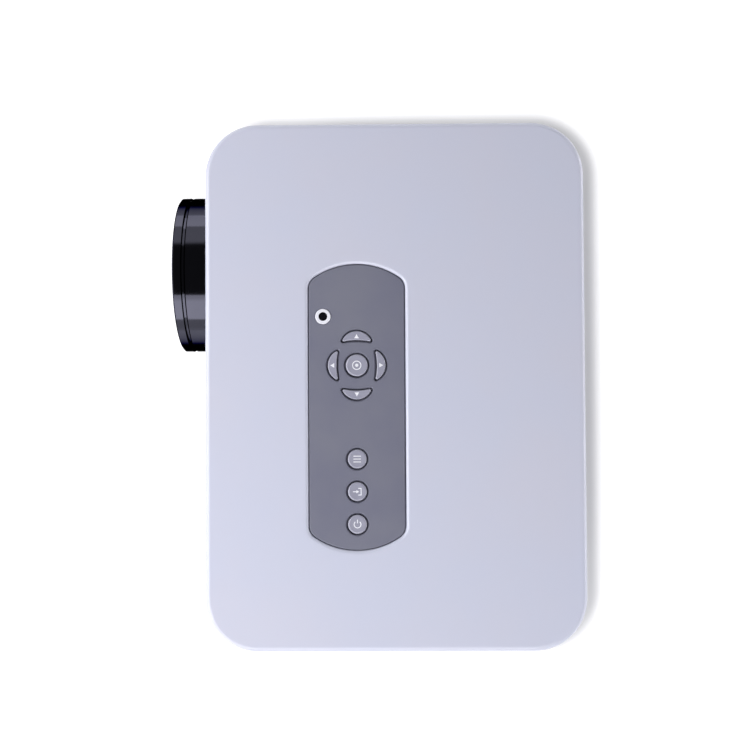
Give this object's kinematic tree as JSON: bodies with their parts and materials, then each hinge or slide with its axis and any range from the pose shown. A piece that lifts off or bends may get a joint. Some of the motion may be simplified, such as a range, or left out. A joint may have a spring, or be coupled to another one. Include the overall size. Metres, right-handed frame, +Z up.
{
  "type": "projector with built-in disc player",
  "caption": "Compact projector with a round focusing lens, a key plate on top and a slim tray-loading DVD drive that opens on its right-hand side.",
  "frame": {"origin": "on the table, under the middle of the bounding box", "axes": "+X along the long side towards the disc tray, +Y to the rear ports, +Z up; the lens looks along -Y"},
  "size_m": [0.24, 0.1888, 0.092],
  "materials": {
    "case_gloss_plastic": "moulded, high gloss, lilac white",
    "key_plate": "satin, warm lilac grey",
    "key_caps": "moulded, semi-gloss, lilac grey",
    "white_gloss": "moulded, gloss white",
    "symbol_ink": "pad-printed, white",
    "contact_gold": "flash-plated",
    "port_blue": "moulded, blue",
    "lamp_green": "moulded, clear green",
    "window_black": "smoked, dark",
    "black_gloss": "moulded, high gloss black",
    "black_matte": "moulded, fine texture",
    "port_plate": "moulded, dark grey",
    "lens_glass": "coated optical glass",
    "circuit_board": "glass-fibre laminate, green solder mask",
    "sheet_steel": "zinc-plated sheet",
    "steel_pin": "ground",
    "sink_aluminium": "extruded",
    "brass_insert": "turned",
    "rubber_black": "moulded",
    "display_glass": "liquid-crystal panel",
    "paper_cone": "pressed paper",
    "grey_plastic": "moulded",
    "led_board": "white solder mask on aluminium"
  },
  "bodies": {
    "root": {"top_cover": "case_gloss_plastic", "bottom_case": "case_gloss_plastic", "rear_panel": "port_plate", "rubber_feet": "rubber_black", "housing_screws": "steel_pin", "tripod_insert": "brass_insert", "keypad_panel": "key_plate", "ir_window_ring": "white_gloss", "ir_window": "window_black", "keypad_board": "circuit_board", "tact_switches": "black_matte", "lens_collar": "black_gloss", "optical_housing": "black_matte", "optical_lid": "black_matte", "fresnel_lenses": "lens_glass", "lcd_panel": "display_glass", "condenser_lens": "lens_glass", "led_module": "led_board", "heat_sink": "sink_aluminium", "exhaust_fan_frame": "black_matte", "intake_fan_frame": "black_matte", "speaker_frames": "sheet_steel", "speaker_cones": "paper_cone", "main_board": "circuit_board", "power_board": "circuit_board", "usb_socket": "sheet_steel", "hdmi_socket": "sheet_steel", "vga_socket": "sheet_steel", "audio_jacks": "black_matte", "ac_inlet": "black_matte", "drive_chassis": "sheet_steel", "drive_cover": "sheet_steel"},
    "focus_ring": {"focus_ring": "black_gloss"},
    "lens_barrel": {"lens_barrel": "black_matte", "front_lens": "lens_glass", "rear_lens": "lens_glass", "lens_retaining_ring": "black_matte"},
    "exhaust_rotor": {"exhaust_fan_rotor": "black_matte"},
    "intake_rotor": {"intake_fan_rotor": "black_matte"},
    "tray": {"disc_tray": "black_matte", "tray_bezel": "case_gloss_plastic", "traverse_plate": "sheet_steel", "spindle_motor": "steel_pin", "guide_rods": "steel_pin", "sled_motor": "steel_pin"},
    "rails": {"slide_rails": "sheet_steel"},
    "disc_hub": {"disc_hub": "black_matte"},
    "sled": {"pickup_sled": "grey_plastic"},
    "lead_screw": {"lead_screw": "steel_pin"},
    "eject_button": {"eject_button": "white_gloss"},
    "foot_pad": {"foot_pad": "rubber_black"},
    "foot_screw": {"foot_screw": "grey_plastic"},
    "up_key": {"up_key": "key_caps"},
    "down_key": {"down_key": "key_caps"},
    "left_key": {"left_key": "key_caps"},
    "right_key": {"right_key": "key_caps"},
    "ok_key": {"ok_key": "key_caps"},
    "menu_key": {"menu_key": "key_caps"},
    "source_key": {"source_key": "key_caps"},
    "power_key": {"power_key": "key_caps"}
  },
  "joints": [
    {"name": "up_press", "type": "slide", "parent": "root", "child": "up_key", "axis": [0, 0, -1], "range_m": [0, 0.0005], "stiffness_N_per_m": 300},
    {"name": "down_press", "type": "slide", "parent": "root", "child": "down_key", "axis": [0, 0, -1], "range_m": [0, 0.0005], "stiffness_N_per_m": 300},
    {"name": "left_press", "type": "slide", "parent": "root", "child": "left_key", "axis": [0, 0, -1], "range_m": [0, 0.0005], "stiffness_N_per_m": 300},
    {"name": "right_press", "type": "slide", "parent": "root", "child": "right_key", "axis": [0, 0, -1], "range_m": [0, 0.0005], "stiffness_N_per_m": 300},
    {"name": "ok_press", "type": "slide", "parent": "root", "child": "ok_key", "axis": [0, 0, -1], "range_m": [0, 0.0005], "stiffness_N_per_m": 300},
    {"name": "menu_press", "type": "slide", "parent": "root", "child": "menu_key", "axis": [0, 0, -1], "range_m": [0, 0.0005], "stiffness_N_per_m": 300},
    {"name": "source_press", "type": "slide", "parent": "root", "child": "source_key", "axis": [0, 0, -1], "range_m": [0, 0.0005], "stiffness_N_per_m": 300},
    {"name": "power_press", "type": "slide", "parent": "root", "child": "power_key", "axis": [0, 0, -1], "range_m": [0, 0.0005], "stiffness_N_per_m": 300},
    {"name": "focus_turn", "type": "hinge", "parent": "root", "child": "focus_ring", "pos_m": [-0.0556, -0.0784, 0.05], "axis": [0, 1, 0], "range_deg": [0, 120]},
    {"name": "focus_slide", "type": "slide", "parent": "root", "child": "lens_barrel", "axis": [0, 1, 0], "range_m": [0, 0.008]},
    {"name": "exhaust_spin", "type": "hinge", "parent": "root", "child": "exhaust_rotor", "pos_m": [-0.0556, 0.0845, 0.05], "axis": [0, 1, 0], "continuous": true},
    {"name": "intake_spin", "type": "hinge", "parent": "root", "child": "intake_rotor", "pos_m": [-0.1126, 0.008, 0.05], "axis": [1, 0, 0], "continuous": true},
    {"name": "tray_slide", "type": "slide", "parent": "root", "child": "tray", "axis": [1, 0, 0], "range_m": [0, 0.128]},
    {"name": "rail_slide", "type": "slide", "parent": "root", "child": "rails", "axis": [1, 0, 0], "range_m": [0, 0.064]},
    {"name": "hub_spin", "type": "hinge", "parent": "tray", "child": "disc_hub", "pos_m": [0.0545, 0.008, 0.023], "axis": [0, 0, 1], "continuous": true},
    {"name": "lead_turn", "type": "hinge", "parent": "tray", "child": "lead_screw", "pos_m": [0.02, 0.035, 0.0186], "axis": [1, 0, 0], "range_deg": [0, 3965]},
    {"name": "sled_slide", "type": "slide", "parent": "tray", "child": "sled", "axis": [-1, 0, 0], "range_m": [0, 0.033]},
    {"name": "eject_press", "type": "slide", "parent": "tray", "child": "eject_button", "axis": [-1, 0, 0], "range_m": [0, 0.0008], "stiffness_N_per_m": 300},
    {"name": "foot_slide", "type": "slide", "parent": "root", "child": "foot_pad", "axis": [0, 0, -1], "range_m": [0, 0.01]},
    {"name": "foot_turn", "type": "hinge", "parent": "foot_pad", "child": "foot_screw", "pos_m": [0, -0.0644, 0.004], "axis": [0, 0, -1], "range_deg": [0, 1805]}
  ],
  "couplings": [
    {"joint": "focus_slide", "follows": "focus_turn", "m_per_rad": 0.00381},
    {"joint": "rail_slide", "follows": "tray_slide", "ratio": 0.5},
    {"joint": "lead_turn", "follows": "sled_slide", "rad_per_m": 2094.4},
    {"joint": "foot_turn", "follows": "foot_slide", "rad_per_m": 3141.6}
  ]
}
